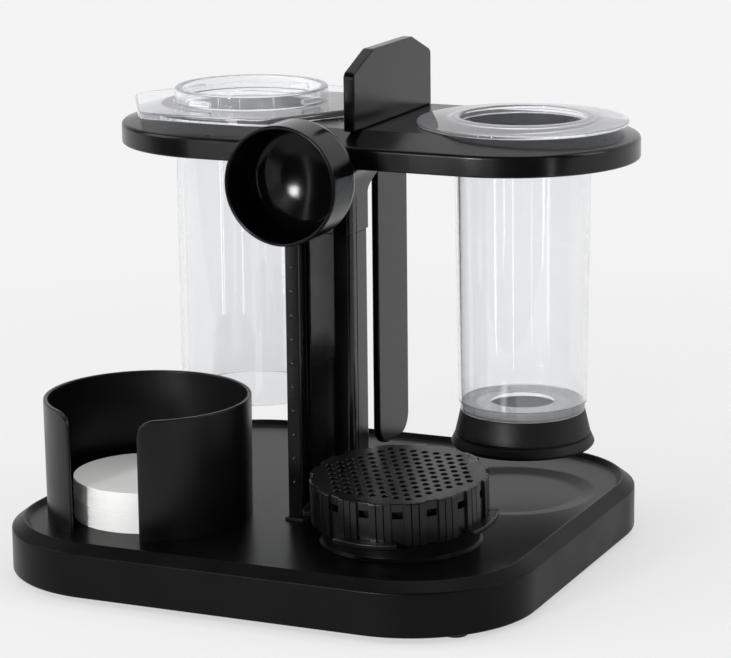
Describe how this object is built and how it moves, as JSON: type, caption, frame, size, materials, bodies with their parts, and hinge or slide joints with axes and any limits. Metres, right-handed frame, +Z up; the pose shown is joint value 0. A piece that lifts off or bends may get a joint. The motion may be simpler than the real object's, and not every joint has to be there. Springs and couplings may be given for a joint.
{
  "type": "coffee press storage stand",
  "caption": "Countertop stand: tray base, post and ring plate that hangs a coffee press chamber and plunger, with places for filters, cap, scoop and stirrer.",
  "frame": {"origin": "middle of the whole stand's footprint box, on the surface that the feet stand on", "axes": "+X along the tray's front edge to the plunger's side, +Y to the back, +Z up"},
  "size_m": [0.2335, 0.2144, 0.211],
  "materials": {
    "satin_plastic": "satin black",
    "black_plastic": "fine satin black",
    "gloss_black": "smooth glossy black",
    "clear_plastic": "clear polished plastic",
    "rubber": "matte black rubber",
    "steel": "zinc plated",
    "brass": "turned",
    "paper": "white filter paper"
  },
  "bodies": {
    "stand": {"base_tray": "satin_plastic", "bottom_cover": "black_plastic", "cover_screws": "steel", "foot_front_left": "rubber", "foot_front_right": "rubber", "foot_rear_left": "rubber", "foot_rear_right": "rubber", "post": "gloss_black", "ring_plate": "black_plastic", "tie_rod": "steel", "tie_nut": "steel", "tie_washer": "steel", "thread_insert": "brass", "filter_holder": "satin_plastic"},
    "chamber": {"chamber": "clear_plastic"},
    "plunger": {"plunger_tube": "clear_plastic", "plunger_seal": "rubber"},
    "stirrer": {"stirrer": "gloss_black"},
    "scoop": {"scoop": "gloss_black"},
    "filter_cap": {"filter_cap": "black_plastic"},
    "filters": {"paper_filters": "paper"}
  },
  "joints": [
    {"name": "chamber_lift", "type": "slide", "parent": "stand", "child": "chamber", "axis": [0, 0, 1], "range_m": [0, 0.14]},
    {"name": "plunger_lift", "type": "slide", "parent": "stand", "child": "plunger", "axis": [0, 0, 1], "range_m": [0, 0.155]},
    {"name": "stirrer_lift", "type": "slide", "parent": "stand", "child": "stirrer", "axis": [0, 0, 1], "range_m": [0, 0.155]},
    {"name": "scoop_lift", "type": "slide", "parent": "stand", "child": "scoop", "axis": [0, 0, 1], "range_m": [0, 0.03]},
    {"name": "cap_lift", "type": "slide", "parent": "stand", "child": "filter_cap", "axis": [0, 0, 1], "range_m": [0, 0.04]},
    {"name": "filters_lift", "type": "slide", "parent": "stand", "child": "filters", "axis": [0, 0, 1], "range_m": [0, 0.065]}
  ]
}
